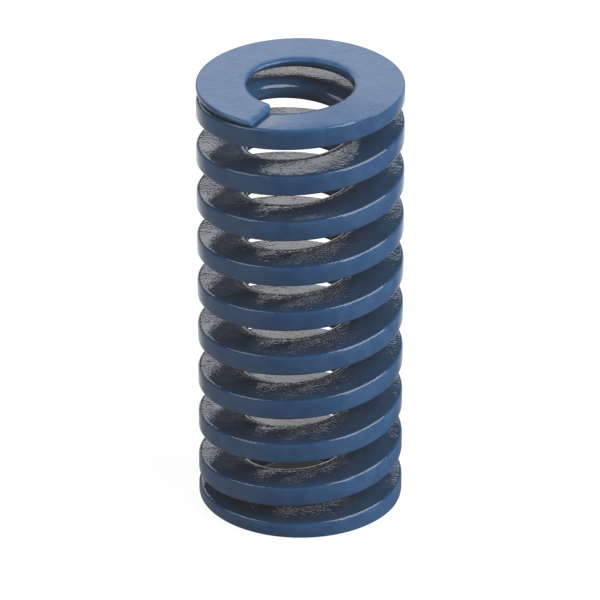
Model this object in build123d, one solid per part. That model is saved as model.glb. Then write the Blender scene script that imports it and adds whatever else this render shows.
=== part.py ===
from build123d import *
from build123d.topology import SkipClean
import math
import os

# die spring, rectangular bar wound on edge, both ends closed and ground flat
# mm, axis on Z, ground bottom face on Z = 0, wound right hand

# coil
outside_diameter = 27.0
inside_diameter = 14.0
free_length = 60.0
total_turns = 10.541

# bar section, outer side upright with small corners, inner side a blunt nose
bar_thickness = 2.9
outer_corner = 0.4
nose_land = 1.0
nose_knee_depth = 0.6
nose_knee_drop = 0.33
nose_depth = 2.1

# closed ends
ground_turns = 0.875
tip_gap = 0.06
blend_angle = 50.0
bottom_tip_azimuth = 48.0

# edge breaks round the ground faces
outer_break = 0.15
inner_break_width = 0.9
inner_break_depth = 0.35

# bar ends, the ground tip rolls off and its corners are rounded in plan
tip_run = 1.1
tip_drop = 0.32
tip_outer_corner = 0.5
tip_inner_corner = 1.3

# build settings, skin left outside the walls before they are turned to size
skin = 0.01
span_angle = 90.0
station_angle = 15.0


outside_radius = outside_diameter / 2
inside_radius = inside_diameter / 2
half_thickness = bar_thickness / 2

first_angle = bottom_tip_azimuth - 360.0
last_angle = first_angle + 360.0 * total_turns
ground_angle = 360.0 * ground_turns
grind_start_low = first_angle + ground_angle
grind_start_high = last_angle - ground_angle


def blended(angle):
    """Area under a smooth step of height one centred on zero."""
    share = (angle + blend_angle) / (2 * blend_angle)
    if share <= 0:
        return 0.0
    if share >= 1:
        return angle
    return 2 * blend_angle * (share**3 - share**4 / 2)


def solve_slopes():
    """Rise per degree of the open and the closed coils."""
    open_angle = grind_start_high - grind_start_low
    corner = 2 * blended(0.0)
    overlap = 360.0 - ground_angle + blended(ground_angle - 360.0)
    rise = free_length - bar_thickness
    seat = bar_thickness + tip_gap
    a, b = open_angle - corner, corner
    c, d = overlap, 360.0 - overlap
    det = a * d - b * c
    return (rise * d - b * seat) / det, (a * seat - rise * c) / det


open_slope, closed_slope = solve_slopes()


def winding(angle):
    """Height law of the bar before it is set on the ground plane."""
    open_part = blended(angle - grind_start_low) - blended(angle - grind_start_high)
    return closed_slope * angle + (open_slope - closed_slope) * open_part


def bar_height(angle):
    """Height of the bar centre at one winding angle."""
    return half_thickness + winding(angle) - winding(grind_start_low)


def bar_section(angle):
    """Closed outline of the bar, standing in the radial plane."""
    outer_x = outside_radius + skin
    inner_x = inside_radius - skin
    upper = [
        (outer_x, half_thickness - outer_corner),
        (outer_x - outer_corner, half_thickness),
        (inner_x + nose_depth, half_thickness),
        (inner_x + nose_knee_depth, half_thickness - nose_knee_drop),
        (inner_x, nose_land / 2),
    ]
    lower = [(x, -z) for x, z in reversed(upper)]
    radial = (math.cos(math.radians(angle)), math.sin(math.radians(angle)), 0)
    facing = (math.sin(math.radians(angle)), -math.cos(math.radians(angle)), 0)
    plane = Plane(origin=(0, 0, bar_height(angle)), x_dir=radial, z_dir=facing)
    return plane * Wire.make_polygon([Vector(x, z) for x, z in upper + lower])


def bar_span(start, end):
    """One span of the bar with its walls turned to the true diameters."""
    count = max(2, math.ceil((end - start) / station_angle))
    angles = [start + (end - start) * i / count for i in range(count + 1)]
    rough = Solid.make_loft([bar_section(angle) for angle in angles])
    low = bar_height(start) - bar_thickness
    high = bar_height(end) + bar_thickness
    turned_away = Pos(0, 0, low) * Rot(0, 0, (start + end) / 2 + 180)
    outside = turned_away * Solid.make_cylinder(outside_radius, high - low)
    inside = turned_away * Solid.make_cylinder(inside_radius, high - low)
    return (rough & outside) - inside


def span_angles():
    """Winding angles where one span meets the next."""
    first = math.floor(first_angle / span_angle) + 1
    last = math.ceil(last_angle / span_angle) - 1
    return [first_angle] + [span_angle * i for i in range(first, last + 1)] + [last_angle]


def corner_cutter(wall, corner, side):
    """Tall tool that rounds one upright corner of a bar end into its wall."""
    reach = wall - side * corner
    centre_x = math.sqrt(reach**2 - corner**2)
    start_y = -corner * wall / reach
    across = Align.MIN if side > 0 else Align.MAX
    square = Pos(centre_x, start_y) * Rectangle(2 * corner, 3 * corner, align=(across, Align.MIN))
    disc = Pos(centre_x, -corner) * Circle(corner)
    return Pos(0, 0, -2 * bar_thickness) * extrude(square - disc, 4 * bar_thickness)


def tip_cutter():
    """Tool for one bar end: X radial, Y out of the end, Z out of the ground face."""
    roll = (tip_run**2 + tip_drop**2) / (2 * tip_drop)
    width = outside_radius - inside_radius + 2
    middle = (outside_radius + inside_radius) / 2
    low = Pos(middle, 0, -tip_drop) * Box(width, 2 * tip_run, 1, align=(Align.CENTER, Align.CENTER, Align.MIN))
    barrel = Pos(middle, -tip_run, -roll) * Rot(0, 90, 0) * Cylinder(roll, width + 2)
    outer = corner_cutter(outside_radius, tip_outer_corner, 1)
    inner = corner_cutter(inside_radius, tip_inner_corner, -1)
    return [low - barrel, outer, inner]


def shape_tip(span, angle, height, up):
    """Cut one bar end to its rounded shape before the spans are joined."""
    radial = (math.cos(math.radians(angle)), math.sin(math.radians(angle)), 0)
    place = Plane(origin=(0, 0, height), x_dir=radial, z_dir=(0, 0, up))
    for tool in tip_cutter():
        span = span - place * tool
    return span


def ground_envelope():
    """Tube between the ground planes, its rims broken inside and outside."""
    margin = outer_break
    reach = outside_radius + margin
    wall_x = inside_radius - margin
    inner_x = inside_radius + inner_break_width
    slope = inner_break_depth / inner_break_width
    dip = inner_break_depth + margin * slope
    outline = [
        (wall_x, dip),
        (inner_x, 0),
        (outside_radius - outer_break, 0),
        (reach, outer_break + margin),
        (reach, free_length - outer_break - margin),
        (outside_radius - outer_break, free_length),
        (inner_x, free_length),
        (wall_x, free_length - dip),
    ]
    face = Plane.XZ * Face(Wire.make_polygon([Vector(x, z) for x, z in outline]))
    return Solid.revolve(face, 360, Axis.Z)


def make_coil():
    """Spans joined end to end, then both ends ground."""
    angles = span_angles()
    spans = [bar_span(a, b) for a, b in zip(angles, angles[1:])]
    spans[0] = shape_tip(spans[0], first_angle, 0, -1)
    spans[-1] = shape_tip(spans[-1], last_angle, free_length, 1)
    with SkipClean():
        bar = spans[0].fuse(*spans[1:])
        return bar & ground_envelope()


os.makedirs("parts", exist_ok=True)
coil = make_coil()
coil.label = "coil"
export_step(coil, "parts/coil.step")
print("coil", coil.volume, coil.bounding_box(), len(coil.faces()), coil.is_valid)
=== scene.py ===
# %% [markdown]
# A die spring wound from one flat bar
#
# The part is a stout compression spring for a press tool. It is one bar of steel,
# wound on edge into ten and a half turns, closed and ground flat at both ends, and
# dipped in blue enamel. This lesson makes it the way the spring shop does: a
# straight bar is shaped first, then wound, then its ends are ground, and only
# then is it painted and put on the table.

# %% Load the frame
import math

import bpy
import numpy as np
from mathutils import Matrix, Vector


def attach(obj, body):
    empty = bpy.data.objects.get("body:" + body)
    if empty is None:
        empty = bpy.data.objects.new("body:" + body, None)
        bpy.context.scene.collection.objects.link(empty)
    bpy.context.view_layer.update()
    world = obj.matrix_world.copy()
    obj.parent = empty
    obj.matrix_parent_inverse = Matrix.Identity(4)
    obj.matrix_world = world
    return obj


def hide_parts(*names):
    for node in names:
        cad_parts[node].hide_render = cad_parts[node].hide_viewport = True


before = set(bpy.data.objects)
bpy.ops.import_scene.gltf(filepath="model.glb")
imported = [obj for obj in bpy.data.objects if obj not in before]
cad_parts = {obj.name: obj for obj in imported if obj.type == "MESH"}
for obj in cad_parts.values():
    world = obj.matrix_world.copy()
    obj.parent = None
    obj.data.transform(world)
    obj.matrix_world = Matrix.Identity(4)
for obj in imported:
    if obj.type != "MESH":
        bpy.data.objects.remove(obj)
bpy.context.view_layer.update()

# %% [markdown]
# The sizes
#
# Blender works in metres, so every size of the spring is written in millimetres
# and multiplied by MM. Angles are in degrees. These are the sizes of the solid that the frame
# holds. The outer corners of the bar, its tips and its nose are made finer here.
# The nose is the blunt inner side that the bar gets when it is squeezed round the
# mandrel.

# %% Sizes of the spring
MM = 0.001
OUTER_RADIUS = 13.5 * MM
INNER_RADIUS = 7.0 * MM
FREE_LENGTH = 60.0 * MM
BAR_THICKNESS = 2.9 * MM
BAR_WIDTH = OUTER_RADIUS - INNER_RADIUS
MIDDLE_RADIUS = (OUTER_RADIUS + INNER_RADIUS) / 2

TOTAL_TURNS = 10.541
GROUND_TURNS = 0.875
TIP_GAP = 0.06 * MM
BLEND_ANGLE = 50.0
FIRST_ANGLE = 48.0 - 360.0
LAST_ANGLE = FIRST_ANGLE + 360.0 * TOTAL_TURNS
GROUND_ANGLE = 360.0 * GROUND_TURNS
GRIND_START_LOW = FIRST_ANGLE + GROUND_ANGLE
GRIND_START_HIGH = LAST_ANGLE - GROUND_ANGLE
BAR_LENGTH = math.radians(LAST_ANGLE - FIRST_ANGLE) * MIDDLE_RADIUS
print("the straight bar is", round(1000 * BAR_LENGTH), "mm long")

# %% [markdown]
# Helpers for modelling by hand
#
# An edit mode operator acts on whatever is selected, so each step starts with
# nothing selected and then picks edges by where they lie. The helpers below only
# shorten those two habits.

# %% Selection helpers
def deselect_all():
    """Nothing selected in object mode."""
    bpy.ops.object.select_all(action="DESELECT")


def activate(piece):
    """Make one piece the only selected and active one."""
    deselect_all()
    piece.select_set(True)
    bpy.context.view_layer.objects.active = piece


def select_edges(piece, wanted):
    """Select the edges whose two end points pass the test, and nothing else."""
    bpy.ops.object.mode_set(mode="EDIT")
    bpy.ops.mesh.select_mode(type="EDGE")
    bpy.ops.mesh.select_all(action="DESELECT")
    bpy.ops.object.mode_set(mode="OBJECT")
    points = piece.data.vertices
    for edge in piece.data.edges:
        a, b = (points[i].co for i in edge.vertices)
        edge.select = wanted(a, b)
    bpy.ops.object.mode_set(mode="EDIT")


def runs_along(a, b):
    """True for an edge that lies along the straight bar."""
    return abs(a.y - b.y) > abs(a.x - b.x) + abs(a.z - b.z)


print("selection helpers are ready")

# %% [markdown]
# The bar stock
#
# On the real spring the bar starts as flat wire with rounded corners. It could be
# drawn as a curve with a bevel profile, but a solid bar shows better what each
# tool does: a cube is stretched to the size of the bar, and its long edges are
# bevelled. The nose is close to an ellipse, more than twice as deep as it is high.
# Bevel only makes round corners, so the bar is squeezed first, bevelled, and
# pulled back to its true width.

# %% Bar stock
NOSE_DEPTH = 2.4 * MM
NOSE_HEIGHT = 1.05 * MM
NOSE_SEGMENTS = 9
NOSE_PROFILE = 0.53
CORNER_RADIUS = 0.5 * MM
CORNER_SEGMENTS = 5
ROUND_PROFILE = 0.5
NEAR_WALL = 0.01 * MM

deselect_all()
bpy.ops.mesh.primitive_cube_add(size=1.0, location=(0, 0, 0))
coil = bpy.context.active_object
coil.name = "painted_coil"
coil.data.name = "painted_coil"

squeeze = NOSE_HEIGHT / NOSE_DEPTH
bpy.ops.object.mode_set(mode="EDIT")
bpy.ops.transform.resize(
    value=(BAR_WIDTH * squeeze, BAR_LENGTH, BAR_THICKNESS), center_override=(0, 0, 0))
select_edges(coil, lambda a, b: runs_along(a, b) and a.x < 0)
bpy.ops.mesh.bevel(
    offset=NOSE_HEIGHT, segments=NOSE_SEGMENTS, profile=NOSE_PROFILE, affect="EDGES")
bpy.ops.mesh.select_all(action="SELECT")
bpy.ops.transform.resize(value=(1 / squeeze, 1, 1), center_override=(0, 0, 0))
bpy.ops.transform.translate(value=(MIDDLE_RADIUS, BAR_LENGTH / 2, 0))
select_edges(coil, lambda a, b: runs_along(a, b) and min(a.x, b.x) > OUTER_RADIUS - NEAR_WALL)
bpy.ops.mesh.bevel(
    offset=CORNER_RADIUS, segments=CORNER_SEGMENTS, profile=ROUND_PROFILE, affect="EDGES")
bpy.ops.object.mode_set(mode="OBJECT")
print("bar section has", len(coil.data.vertices) // 2, "corners")

# %% [markdown]
# Cutting the bar into short lengths
#
# Two rounds of subdivide cut every long edge into 1280 pieces, about three
# degrees of winding each. The last few millimetres at both ends are cut finer,
# because the tip has small round corners.

# %% Short lengths
FIRST_CUTS = 39
SECOND_CUTS = 31
TIP_CUTS = 4
TIP_ZONE = 3.0 * MM

select_edges(coil, runs_along)
bpy.ops.mesh.subdivide(number_cuts=FIRST_CUTS)
select_edges(coil, runs_along)
bpy.ops.mesh.subdivide(number_cuts=SECOND_CUTS)
select_edges(coil, lambda a, b: runs_along(a, b)
             and (max(a.y, b.y) < TIP_ZONE or min(a.y, b.y) > BAR_LENGTH - TIP_ZONE))
bpy.ops.mesh.subdivide(number_cuts=TIP_CUTS)
bpy.ops.object.mode_set(mode="OBJECT")
print("bar has", len(coil.data.vertices), "points")

# %% [markdown]
# How high the bar lies at each turn
#
# A spring like this isn't one even screw. Its middle coils rise about 6.5 mm a
# turn, and the last coil at each end lies down almost onto its neighbour. The
# rise changes from one to the other over a hundred degrees. Two equations fix
# the two rises: the free length, and the thin gap under each tip.

# %% Height law
def blended(angle):
    """Area under a smooth step of height one centred on zero."""
    share = np.clip((angle + BLEND_ANGLE) / (2 * BLEND_ANGLE), 0, None)
    inside = 2 * BLEND_ANGLE * (share**3 - share**4 / 2)
    return np.where(share >= 1, angle, inside)


def solve_rises():
    """Rise per degree of the open and of the closed coils."""
    corner = 2 * float(blended(0.0))
    open_angle = GRIND_START_HIGH - GRIND_START_LOW - corner
    overlap = 360.0 - GROUND_ANGLE + float(blended(GROUND_ANGLE - 360.0))
    total = FREE_LENGTH - BAR_THICKNESS
    seat = BAR_THICKNESS + TIP_GAP
    return np.linalg.solve([[open_angle, corner], [overlap, 360.0 - overlap]], [total, seat])


OPEN_RISE, CLOSED_RISE = solve_rises()


def climb(angle):
    """Height gained by the bar, before it is set on the table."""
    open_part = blended(angle - GRIND_START_LOW) - blended(angle - GRIND_START_HIGH)
    return CLOSED_RISE * angle + (OPEN_RISE - CLOSED_RISE) * open_part


def bar_height(angle):
    """Height of the middle of the bar above the table."""
    return BAR_THICKNESS / 2 + climb(angle) - climb(GRIND_START_LOW)


for rise_name, rise in (("open", OPEN_RISE), ("closed", CLOSED_RISE)):
    print("rise of the", rise_name, "coils in mm a turn:", round(360 * rise / MM, 2))

# %% [markdown]
# Winding
#
# Winding a bar of many turns is more than a Curve or a Simple Deform modifier
# does neatly, so the points are moved in code: the place along the bar becomes an
# angle, and the height law lifts it. Before that, the square ends get rounded
# corners, by drawing the corner points back along the bar.

# %% Wind the bar
TIP_OUTER_CORNER = 0.5 * MM
TIP_INNER_CORNER = 1.8 * MM


def points_of(piece):
    """The points of a mesh as an array with one row each."""
    flat = np.zeros(3 * len(piece.data.vertices), np.float32)
    piece.data.vertices.foreach_get("co", flat)
    return flat.reshape(-1, 3).astype(float)


def corner_draw(from_wall, corner):
    """How far a rounded corner of the tip stands back from its square end."""
    into = np.clip(corner - from_wall, 0, corner)
    return corner - np.sqrt(corner**2 - into**2)


radius, along, local = points_of(coil).T.copy()
draw = corner_draw(OUTER_RADIUS - radius, TIP_OUTER_CORNER)
draw += corner_draw(radius - INNER_RADIUS, TIP_INNER_CORNER)
draw *= MIDDLE_RADIUS / radius
near_last = np.clip(1 - (BAR_LENGTH - along) / TIP_ZONE, 0, 1)
near_first = np.clip(1 - along / TIP_ZONE, 0, 1)
along = along - draw * near_last + draw * near_first
angle = FIRST_ANGLE + np.degrees(along / MIDDLE_RADIUS)
height = bar_height(angle) + local
print("wound coil is", round((height.max() - height.min()) / MM, 2), "mm high before grinding")

# %% [markdown]
# Grinding
#
# Grinding comes last, as in the shop. A boolean with a flat tool would do, but it
# leaves long thin faces. Here the wheel's face is a height for every radius:
# flat, with a small break at the outer rim that widens towards the tip, a wider
# one at the inner rim, and a roll-off at the tip. Whatever stands proud of it is
# pressed down to it.

# %% Grind both ends
OUTER_BREAK = 0.15 * MM
TIP_RIM_BREAK = 0.40 * MM
TIP_RIM_RUN = 14 * MM
INNER_BREAK_WIDTH = 0.9 * MM
INNER_BREAK_DEPTH = 0.35 * MM
TIP_RUN = 1.1 * MM
TIP_DROP = 0.32 * MM


def rounded(into, width, depth):
    """Drop of a quarter ellipse, that far into an edge of that width and depth."""
    share = np.clip(into / width, 0, 1)
    return depth * (1 - np.sqrt(1 - share**2))


def wheel_face(radius, from_tip):
    """How far the ground face lies below its plane, at the rims and at the tip."""
    near_tip = np.clip(1 - from_tip / TIP_RIM_RUN, 0, 1)
    rim = OUTER_BREAK + (TIP_RIM_BREAK - OUTER_BREAK) * near_tip * (2 - near_tip)
    outer = rounded(radius - OUTER_RADIUS + rim, rim, rim)
    inner = rounded(INNER_RADIUS + INNER_BREAK_WIDTH - radius, INNER_BREAK_WIDTH, INNER_BREAK_DEPTH)
    tip = TIP_DROP * np.clip(1 - from_tip / TIP_RUN, 0, 1) ** 2
    return outer + inner + tip


scale = radius / MIDDLE_RADIUS
top = FREE_LENGTH - wheel_face(radius, (BAR_LENGTH - along) * scale)
bottom = wheel_face(radius, along * scale)
pressed = (height > top) | (height < bottom)
height = np.clip(height, bottom, top)

turn = np.radians(angle)
wound = np.column_stack([radius * np.cos(turn), radius * np.sin(turn), height])
coil.data.vertices.foreach_set("co", wound.astype(np.float32).ravel())
print("the wheel has touched", int(pressed.sum()), "points")

# %% [markdown]
# Marks for the painter
#
# The paint differs from place to place, and the painter has to know where each
# point came from. Four marks are kept on the points: the place in the straight
# bar, where the wheel has pressed, the side of the last turn that lies in the
# open, and the stretch where the grinding begins, which the wheel only skims.
# Vertex colours could hold them too, but these keep their full precision.

# %% Marks on the points
ONE_TURN = 2 * math.pi * MIDDLE_RADIUS
OPEN_FADE = 8 * MM
SKIM_MIDDLE = 54.2 * MM
SKIM_REACH = 8.0 * MM


def mark_points(piece, name, values):
    """Keep one number, or one row of three, on every point of a piece."""
    kind, field = ("FLOAT", "value") if values.ndim == 1 else ("FLOAT_VECTOR", "vector")
    mark = piece.data.attributes.new(name, kind, "POINT")
    mark.data.foreach_set(field, values.astype(np.float32).ravel())


from_end = np.where(local > 0, BAR_LENGTH - along, along)
mark_points(coil, "bar_place", np.column_stack([radius, along, local]))
mark_points(coil, "ground", pressed)
mark_points(coil, "exposed", np.clip((ONE_TURN + OPEN_FADE / 2 - from_end) / OPEN_FADE, 0, 1))
mark_points(coil, "skimmed", np.clip(1 - np.abs(from_end - SKIM_MIDDLE) / SKIM_REACH, 0, 1))
coil.data.update()
print("the points carry", [mark.name for mark in coil.data.attributes if not mark.is_internal])

# %% [markdown]
# Cleaning up
#
# Where the wheel has pressed points together, some lie on top of each other. They
# are merged, slivers are dissolved, and the faces are turned outwards. The smooth
# shading stops at edges sharper than the crease angle, so the arcs of the corners
# look round and the rim of a ground face stays crisp. Near each tip both halves of
# the nose are pressed onto one line, which leaves a fin of single faces at the
# inner rim, 0.1 to 0.2 mm wide. A few such faces are left at the outer corner of
# the tips as well. Their edges are what the last line counts.

# %% Clean the mesh
MERGE_DISTANCE = 0.002 * MM
CREASE_ANGLE = 32

activate(coil)
bpy.ops.object.mode_set(mode="EDIT")
bpy.ops.mesh.select_all(action="SELECT")
bpy.ops.mesh.remove_doubles(threshold=MERGE_DISTANCE)
bpy.ops.mesh.dissolve_degenerate(threshold=MERGE_DISTANCE)
bpy.ops.mesh.select_all(action="SELECT")
bpy.ops.mesh.normals_make_consistent(inside=False)
bpy.ops.mesh.select_all(action="DESELECT")
bpy.ops.mesh.select_non_manifold()
bpy.ops.object.mode_set(mode="OBJECT")
fin_edges = sum(edge.select for edge in coil.data.edges)
bpy.ops.object.shade_smooth_by_angle(angle=math.radians(CREASE_ANGLE))
coil.data.calc_loop_triangles()
print("coil has", len(coil.data.loop_triangles), "triangles")
print(fin_edges, "edges are shared by one face or by three")

# %% [markdown]
# Small helpers for materials
#
# A material is a tree of nodes. The helpers add a node, do one sum, stretch a
# value from one range to another, make noise, or read a mark from the points, and
# each gives back the socket to go on from.

# %% Shader helpers
def add_node(tree, kind, **settings):
    """A new node with its settings, which are properties of the node."""
    node = tree.nodes.new(kind)
    for name, value in settings.items():
        setattr(node, name, value)
    return node


def feed(tree, socket, value):
    """Give an input socket a plain number, or link it to another socket."""
    if isinstance(value, (int, float)):
        socket.default_value = value
    else:
        tree.links.new(value, socket)


def sum_of(tree, kind, a, b=0.0):
    """One step of arithmetic."""
    node = add_node(tree, "ShaderNodeMath", operation=kind)
    feed(tree, node.inputs[0], a)
    feed(tree, node.inputs[1], b)
    return node.outputs[0]


def stretch(tree, value, start, end, low, high):
    """A value taken smoothly from one range to another."""
    node = add_node(tree, "ShaderNodeMapRange", interpolation_type="SMOOTHSTEP")
    for name, number in (("From Min", start), ("From Max", end), ("To Min", low), ("To Max", high)):
        node.inputs[name].default_value = number
    feed(tree, node.inputs["Value"], value)
    return node.outputs["Result"]


def noise(tree, vector, scale, detail):
    """Soft noise, its scale counted in waves per metre."""
    node = add_node(tree, "ShaderNodeTexNoise")
    node.inputs["Scale"].default_value = scale
    node.inputs["Detail"].default_value = detail
    tree.links.new(vector, node.inputs["Vector"])
    return node.outputs["Fac"]


def marked(tree, name):
    """The number that the points carry under that name."""
    return add_node(tree, "ShaderNodeAttribute", attribute_name=name).outputs["Fac"]


print("shader helpers are ready")

# %% [markdown]
# The pebble of the paint
#
# Baked enamel is never quite flat. It has slow waves a millimetre or two across,
# and finer grains of under half a millimetre that come in patches. Both are put in
# one node group, which gives a height in millimetres and a soft mottle. A bump
# image could do the same, but noise has no seams and no limit of size.

# %% Node group for the pebble
WAVES_PER_METRE, WAVE_HEIGHT = 700, 0.030
GRAINS_PER_METRE, GRAIN_HEIGHT = 2600, 0.052
PATCHES_PER_METRE, PATCH_LOW = 330, 0.45
PATCH_FROM, PATCH_TO = 0.40, 0.60
MOTTLES_PER_METRE = 500
MOTTLE_FROM, MOTTLE_TO = 0.30, 0.70

pebble = bpy.data.node_groups.new("enamel_pebble", "ShaderNodeTree")
pebble.interface.new_socket("Vector", in_out="INPUT", socket_type="NodeSocketVector")
pebble.interface.new_socket("Height", in_out="OUTPUT", socket_type="NodeSocketFloat")
pebble.interface.new_socket("Mottle", in_out="OUTPUT", socket_type="NodeSocketFloat")
vector = add_node(pebble, "NodeGroupInput").outputs["Vector"]
outlet = add_node(pebble, "NodeGroupOutput")
waves = sum_of(pebble, "MULTIPLY", noise(pebble, vector, WAVES_PER_METRE, 1), WAVE_HEIGHT)
patches = noise(pebble, vector, PATCHES_PER_METRE, 2)
patches = stretch(pebble, patches, PATCH_FROM, PATCH_TO, PATCH_LOW, 1.0)
grains = sum_of(pebble, "MULTIPLY", noise(pebble, vector, GRAINS_PER_METRE, 1.5), GRAIN_HEIGHT)
grains = sum_of(pebble, "MULTIPLY", grains, patches)
mottle = noise(pebble, vector, MOTTLES_PER_METRE, 3)
mottle = stretch(pebble, mottle, MOTTLE_FROM, MOTTLE_TO, 0.0, 1.0)
pebble.links.new(sum_of(pebble, "ADD", waves, grains), outlet.inputs["Height"])
pebble.links.new(mottle, outlet.inputs["Mottle"])
print("pebble group has", len(pebble.nodes), "nodes")

# %% [markdown]
# Where the enamel gets painted shade, and where it is satin
#
# The spring is painted after grinding, so walls and end faces carry the full blue.
# The faces between two coils lie in the shade of their neighbours. A mask picks
# them: it is one on the flat sides of the bar, and falls to zero on the outer side
# of the last turn at each end, which has no neighbour. There, and where the wheel
# has been, the paint is satin. An image could hold these masks, but the marks on the points need
# none.

# %% Enamel masks
ENAMEL_IOR = 1.5
FLAT_FROM, FLAT_TO = 0.40 * BAR_THICKNESS, 0.495 * BAR_THICKNESS

enamel = bpy.data.materials.new("blue_enamel")
enamel.use_nodes = True
tree = enamel.node_tree
shader = tree.nodes["Principled BSDF"]
shader.inputs["IOR"].default_value = ENAMEL_IOR

bar_place = add_node(tree, "ShaderNodeAttribute", attribute_name="bar_place")
bar_axes = add_node(tree, "ShaderNodeSeparateXYZ")
tree.links.new(bar_place.outputs["Vector"], bar_axes.inputs[0])
from_middle_plane = sum_of(tree, "ABSOLUTE", bar_axes.outputs["Z"])
flat_side = stretch(tree, from_middle_plane, FLAT_FROM, FLAT_TO, 0.0, 1.0)
in_the_open = marked(tree, "exposed")
# Covered faces get painted shade in the blue below, as well as a strong pebble.
covered = sum_of(tree, "MULTIPLY", flat_side, sum_of(tree, "SUBTRACT", 1.0, in_the_open))
open_side = sum_of(tree, "MULTIPLY", flat_side, in_the_open)
satin = sum_of(tree, "MAXIMUM", marked(tree, "ground"), open_side)
print("masks are made with", len(tree.nodes), "nodes")

# %% [markdown]
# Relief and gloss
#
# The walls are smooth and glossy, with only a hint of the pebble. Between the
# coils the pebble is strong and breaks every reflection into specks. Satin paint
# is in between, and it is least glossy where the wheel has only skimmed it. The
# relief could be real geometry, but it is far finer than the faces of the mesh.

# %% Enamel relief and gloss
WALL_RELIEF, SATIN_RELIEF, COVERED_RELIEF = 0.11, 0.75, 0.89
WALL_ROUGHNESS, SATIN_ROUGHNESS = 0.06, 0.22
MOTTLE_ROUGHNESS, SKIM_ROUGHNESS = 0.04, 0.14

place = add_node(tree, "ShaderNodeTexCoord")
paint = add_node(tree, "ShaderNodeGroup", node_tree=pebble)
tree.links.new(place.outputs["Object"], paint.inputs["Vector"])
relief = sum_of(tree, "ADD", WALL_RELIEF, sum_of(tree, "MULTIPLY", satin, SATIN_RELIEF))
relief = sum_of(tree, "ADD", relief, sum_of(tree, "MULTIPLY", covered, COVERED_RELIEF))
bump = add_node(tree, "ShaderNodeBump")
bump.inputs["Distance"].default_value = 1.0 * MM
tree.links.new(sum_of(tree, "MULTIPLY", paint.outputs["Height"], relief), bump.inputs["Height"])
tree.links.new(bump.outputs["Normal"], shader.inputs["Normal"])

roughness = sum_of(tree, "ADD", WALL_ROUGHNESS, sum_of(tree, "MULTIPLY", satin, SATIN_ROUGHNESS))
uneven = sum_of(tree, "MULTIPLY", paint.outputs["Mottle"], MOTTLE_ROUGHNESS)
roughness = sum_of(tree, "ADD", roughness, uneven)
skimmed_satin = sum_of(tree, "MULTIPLY", marked(tree, "skimmed"), satin)
scuffed = sum_of(tree, "MULTIPLY", skimmed_satin, SKIM_ROUGHNESS)
roughness = sum_of(tree, "ADD", roughness, scuffed)
tree.links.new(roughness, shader.inputs["Roughness"])
print("relief goes from", WALL_RELIEF, "on walls to", WALL_RELIEF + COVERED_RELIEF, "between coils")

# %% [markdown]
# The blue and its painted shade
#
# Two close blues are mottled over the whole spring. Between the coils, and on the
# wall of the bore, the blue is darkened towards near black: painted shade, where
# the neighbouring coils keep the light off. Towards the bore it darkens gradually.
# Painting by hand would be possible too, but the masks keep the change even all the way along the
# bar.

# %% Enamel colour and painted shade
FULL_BLUE = (0.019, 0.086, 0.226, 1)
PALE_BLUE = (0.033, 0.117, 0.264, 1)
# A near-black blue, used as painted shade between the coils and in the bore.
SHADE_BLUE = (0.012, 0.022, 0.04, 1)
BORE_FROM, BORE_TO = 9.4 * MM, 7.6 * MM
BORE_SHADE_DEPTH, COVERED_SHADE_DEPTH = 0.55, 0.74

blues = add_node(tree, "ShaderNodeMix", data_type="RGBA")
tree.links.new(paint.outputs["Mottle"], blues.inputs["Factor"])
blues.inputs["A"].default_value = FULL_BLUE
blues.inputs["B"].default_value = PALE_BLUE
shaded_blue = add_node(tree, "ShaderNodeMix", data_type="RGBA")
# Painted shade in the bore: the blue darkens towards the inner wall, except on ground faces.
shade_in_bore = stretch(tree, bar_axes.outputs["X"], BORE_FROM, BORE_TO, 0.0, BORE_SHADE_DEPTH)
shade_in_bore = sum_of(tree, "MULTIPLY", shade_in_bore, sum_of(tree, "SUBTRACT", 1.0, satin))
# Painted shade between the coils, where the neighbouring coils keep the light off.
shade_between_coils = sum_of(tree, "MULTIPLY", covered, COVERED_SHADE_DEPTH)
painted_shade = sum_of(tree, "MAXIMUM", shade_between_coils, shade_in_bore)
tree.links.new(painted_shade, shaded_blue.inputs["Factor"])
tree.links.new(blues.outputs["Result"], shaded_blue.inputs["A"])
shaded_blue.inputs["B"].default_value = SHADE_BLUE
tree.links.new(shaded_blue.outputs["Result"], shader.inputs["Base Color"])
print("full blue", FULL_BLUE[:3], "shade blue", SHADE_BLUE[:3])

# %% [markdown]
# Stray light
#
# A camera that looks at a white table also catches stray light, which lifts the
# deepest shadows. A compositor could add it to the whole picture. A very faint
# glow of the paint, shown to the camera alone, stands in for it here.

# %% Stray light in the shadows
STRAY_LIGHT = 0.018
rays = add_node(tree, "ShaderNodeLightPath")
shader.inputs["Emission Color"].default_value = (1, 1, 1, 1)
stray = sum_of(tree, "MULTIPLY", rays.outputs["Is Camera Ray"], STRAY_LIGHT)
tree.links.new(stray, shader.inputs["Emission Strength"])
coil.data.materials.append(enamel)
print("enamel has", len(tree.nodes), "nodes")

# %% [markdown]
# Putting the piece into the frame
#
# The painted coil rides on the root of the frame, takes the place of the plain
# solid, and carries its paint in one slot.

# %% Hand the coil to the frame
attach(coil, "root")
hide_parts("coil")
print("coil box in mm:", [round(1000 * x, 2) for x in coil.dimensions])

# %% [markdown]
# The table
#
# The table is a wide sheet of matt paper. The camera sees it as pure white, with
# the soft shadow of the spring, except inside the bore, where the white is taken
# away: painted shade, as no light comes there. For other rays the paper is dark
# grey, and for mirrored rays it glows behind the spring and a little on the left:
# painted reflections, so the paint mirrors it bright behind and dark in front.
# That is what draws the pale edges of the walls.

# %% Floor
FLOOR_RADIUS = 2.5
FLOOR_SIDES = 96
FLOOR_HEIGHT = -0.02 * MM
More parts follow.
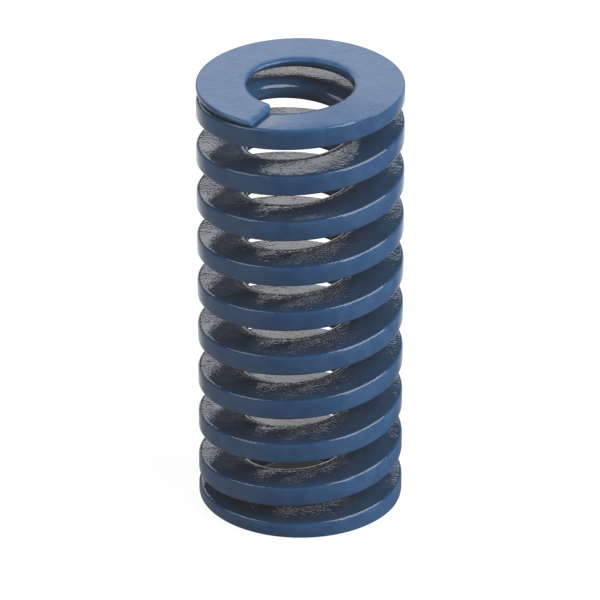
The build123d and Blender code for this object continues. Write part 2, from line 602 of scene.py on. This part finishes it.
# The paper's own grey is dark, so that the paint mirrors it dark in front: painted reflection.
PAPER_GREY = (0.13, 0.13, 0.13, 1)
PAPER_ROUGHNESS = 0.6
BORE_EDGE, OUTER_EDGE = 11 * MM, 13 * MM
SEEN_IN_BORE, SEEN_OUTSIDE = 0.035, 0.9
BEHIND_FROM, BEHIND_TO, MIRRORED_BEHIND = 0.45, 1.0, 0.7
LEFT_FROM, LEFT_TO, MIRRORED_LEFT = -0.3, -0.8, 0.2

deselect_all()
bpy.ops.mesh.primitive_circle_add(
    vertices=FLOOR_SIDES, radius=FLOOR_RADIUS, fill_type="NGON", location=(0, 0, FLOOR_HEIGHT))
floor = bpy.context.active_object
floor.name = "floor"
paper = bpy.data.materials.new("white_paper")
paper.use_nodes = True
tree = paper.node_tree
shader = tree.nodes["Principled BSDF"]
shader.inputs["Base Color"].default_value = PAPER_GREY
shader.inputs["Roughness"].default_value = PAPER_ROUGHNESS
shader.inputs["Emission Color"].default_value = (1, 1, 1, 1)
place = add_node(tree, "ShaderNodeTexCoord")
reach = add_node(tree, "ShaderNodeVectorMath", operation="LENGTH")
tree.links.new(place.outputs["Object"], reach.inputs[0])
heading = add_node(tree, "ShaderNodeVectorMath", operation="NORMALIZE")
tree.links.new(place.outputs["Object"], heading.inputs[0])
floor_axes = add_node(tree, "ShaderNodeSeparateXYZ")
tree.links.new(heading.outputs["Vector"], floor_axes.inputs[0])
rays = add_node(tree, "ShaderNodeLightPath")
# Painted shade: inside the bore the camera's white lift is nearly taken away, so the floor there is
# dark.
outside = stretch(
    tree, reach.outputs["Value"], BORE_EDGE, OUTER_EDGE, SEEN_IN_BORE, SEEN_OUTSIDE)
seen = sum_of(tree, "MULTIPLY", rays.outputs["Is Camera Ray"], outside)
# Painted reflection: for mirrored rays the paper glows, bright behind the spring and a little on
# the left.
behind = stretch(tree, floor_axes.outputs["Y"], BEHIND_FROM, BEHIND_TO, 0.0, MIRRORED_BEHIND)
left = stretch(tree, floor_axes.outputs["X"], LEFT_FROM, LEFT_TO, 0.0, MIRRORED_LEFT)
both_sides = sum_of(tree, "ADD", behind, left)
mirrored = sum_of(tree, "MULTIPLY", rays.outputs["Is Glossy Ray"], both_sides)
tree.links.new(sum_of(tree, "ADD", seen, mirrored), shader.inputs["Emission Strength"])
floor.data.materials.append(paper)
print("floor radius in m:", round(floor.dimensions.x / 2, 2))

# %% [markdown]
# The room
#
# The room itself is nearly black, so that gloss stays deep. Only the camera sees
# it as white.

# %% World
ROOM_LEVEL, SEEN_ROOM_LEVEL = 0.04, 1.0

world = bpy.data.worlds.new("studio")
bpy.context.scene.world = world
world.use_nodes = True
tree = world.node_tree
rays = add_node(tree, "ShaderNodeLightPath")
level = stretch(tree, rays.outputs["Is Camera Ray"], 0.0, 1.0, ROOM_LEVEL, SEEN_ROOM_LEVEL)
tree.links.new(level, tree.nodes["Background"].inputs["Strength"])
tree.nodes["Background"].inputs["Color"].default_value = (1, 1, 1, 1)
print("room level", ROOM_LEVEL, "seen as", SEEN_ROOM_LEVEL)

# %% [markdown]
# Three soft boxes
#
# A broad, low one behind is what the flat faces mirror. A large one on the right,
# a little to the front, lights the walls and draws the thin line on the upper
# corner of each coil. A smaller one on the left gives the short line there. Each
# is placed by azimuth, elevation and distance from the middle of the spring, and
# its sizes are in metres.

# %% Lamps
MIDDLE_HEIGHT = FREE_LENGTH / 2


def from_middle(azimuth, elevation, distance):
    """A place seen from the middle of the spring in that direction."""
    a, e = math.radians(azimuth), math.radians(elevation)
    flat = distance * math.cos(e)
    return (flat * math.cos(a), flat * math.sin(a), MIDDLE_HEIGHT + distance * math.sin(e))


def soft_box(name, place, width, height, level):
    """A lamp that faces the spring, with the brightness that it shows."""
    away = Vector(place) - Vector((0, 0, MIDDLE_HEIGHT))
    bpy.ops.object.light_add(type="AREA", location=place)
    lamp = bpy.context.active_object
    lamp.name = name
    lamp.rotation_euler = away.to_track_quat("Z", "Y").to_euler()
    lamp.data.shape = "RECTANGLE"
    lamp.data.size = width
    lamp.data.size_y = height
    lamp.data.energy = level * math.pi * width * height
    print(name, "gives", round(lamp.data.energy, 1), "watt")


soft_box("back_box", from_middle(103, 26, 1.2), width=1.6, height=0.44, level=2.05)
soft_box("right_box", from_middle(-18, 42, 1.1), width=1.2, height=0.9, level=5.2)
soft_box("left_box", from_middle(192, 40, 1.1), width=0.7, height=0.7, level=2.7)

# %% [markdown]
# The camera
#
# The camera looks down at not quite 28 degrees from straight in front. It stands
# far away with a long lens, so that the coils keep nearly the same width from top
# to bottom. It dips a little below the middle of the spring and stands a hair to
# the left, as the photograph has it.

# %% Camera
CAMERA_DISTANCE = 0.7345
CAMERA_ELEVATION = 27.85
CAMERA_DIP = 0.116
CAMERA_SIDE = -0.00005
SENSOR_WIDTH = 36
LENS = 336.0
NEAREST, FARTHEST = 0.01, 20

lift = math.radians(CAMERA_ELEVATION)
back = CAMERA_DISTANCE * math.cos(lift)
spot = (CAMERA_SIDE, -back, MIDDLE_HEIGHT + CAMERA_DISTANCE * math.sin(lift))
tilt = math.radians(90 - CAMERA_ELEVATION - CAMERA_DIP)
bpy.ops.object.camera_add(location=spot, rotation=(tilt, 0, 0))
camera = bpy.context.active_object
camera.data.sensor_width = SENSOR_WIDTH
camera.data.lens = LENS
camera.data.clip_start = NEAREST
camera.data.clip_end = FARTHEST
bpy.context.scene.camera = camera
bpy.context.scene.view_settings.view_transform = "Standard"
print("camera is", round(1000 * CAMERA_DISTANCE), "mm from the spring")
